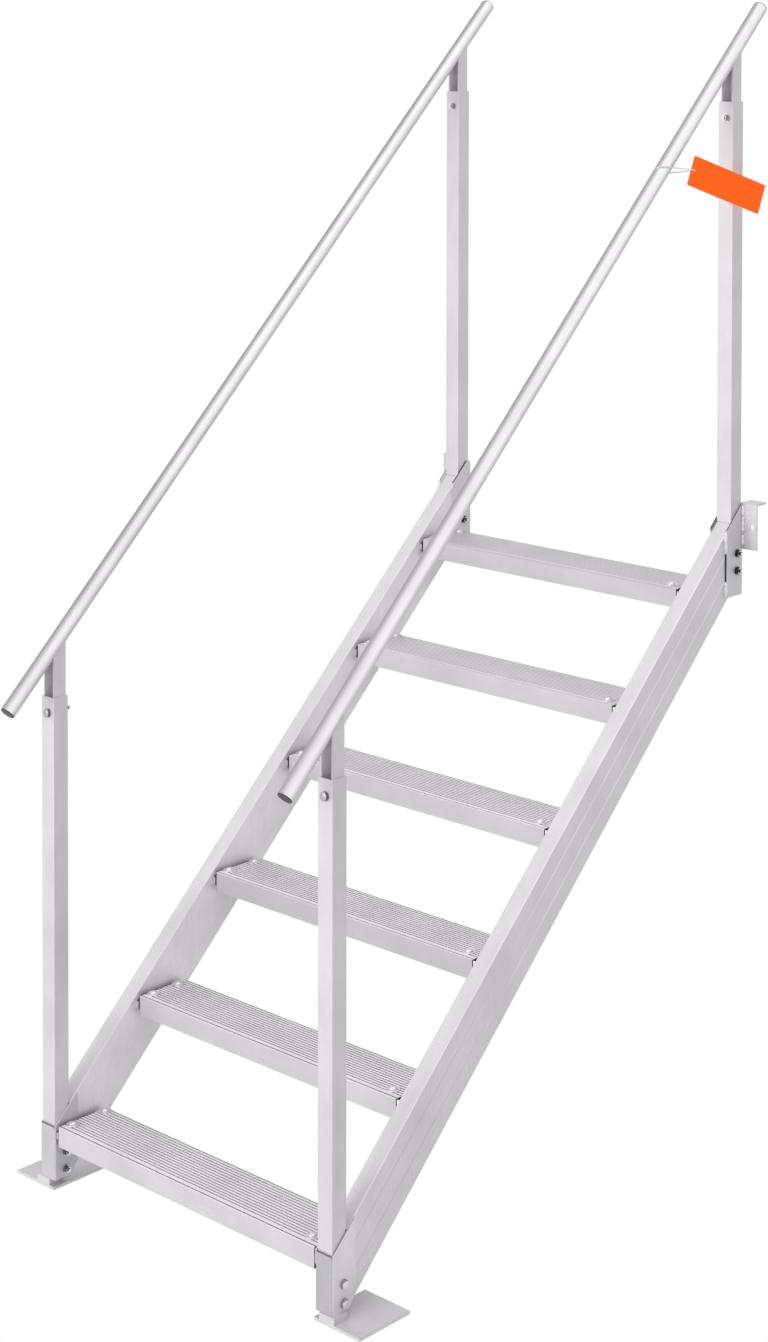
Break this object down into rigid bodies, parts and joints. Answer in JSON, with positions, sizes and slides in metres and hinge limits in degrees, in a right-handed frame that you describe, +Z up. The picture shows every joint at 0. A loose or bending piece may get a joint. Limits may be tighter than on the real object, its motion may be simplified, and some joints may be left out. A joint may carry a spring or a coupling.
{
  "type": "swim ladder",
  "caption": "Aluminium dock stair for swimmers: ribbed treads between two sloping box stringers, posts with sloping tube handrails, hooks for the dock and ground plates at the foot.",
  "frame": {"origin": "middle of the underside of the right dock hook's flange, where it rests on the dock", "axes": "+Z up, +Y from the water towards the dock, +X to the right of someone who climbs the stair"},
  "size_m": [0.982, 1.5002, 2.4366],
  "materials": {
    "satin_aluminium": "satin, fine lengthwise grain",
    "plate_aluminium": "mill-finish plate",
    "black_plastic": "matte black"
  },
  "bodies": {
    "root": {"stringer_left": "satin_aluminium", "front_post_left": "satin_aluminium", "back_post_left": "satin_aluminium", "front_stub_left": "satin_aluminium", "back_stub_left": "satin_aluminium", "handrail_left": "satin_aluminium", "low_plug_left": "black_plastic", "high_plug_left": "black_plastic", "foot_bracket_left": "plate_aluminium", "base_plate_left": "plate_aluminium", "outer_side_plate_left": "plate_aluminium", "inner_side_plate_left": "plate_aluminium", "dock_hook_left": "plate_aluminium", "stringer_right": "satin_aluminium", "front_post_right": "satin_aluminium", "back_post_right": "satin_aluminium", "front_stub_right": "satin_aluminium", "back_stub_right": "satin_aluminium", "handrail_right": "satin_aluminium", "low_plug_right": "black_plastic", "high_plug_right": "black_plastic", "foot_bracket_right": "plate_aluminium", "base_plate_right": "plate_aluminium", "outer_side_plate_right": "plate_aluminium", "inner_side_plate_right": "plate_aluminium", "dock_hook_right": "plate_aluminium", "tread_1": "satin_aluminium", "cleat_1_left": "plate_aluminium", "cleat_1_right": "plate_aluminium", "tread_2": "satin_aluminium", "cleat_2_left": "plate_aluminium", "cleat_2_right": "plate_aluminium", "tread_3": "satin_aluminium", "cleat_3_left": "plate_aluminium", "cleat_3_right": "plate_aluminium", "tread_4": "satin_aluminium", "cleat_4_left": "plate_aluminium", "cleat_4_right": "plate_aluminium", "tread_5": "satin_aluminium", "cleat_5_left": "plate_aluminium", "cleat_5_right": "plate_aluminium", "tread_6": "satin_aluminium", "cleat_6_left": "plate_aluminium", "cleat_6_right": "plate_aluminium"}
  },
  "joints": []
}
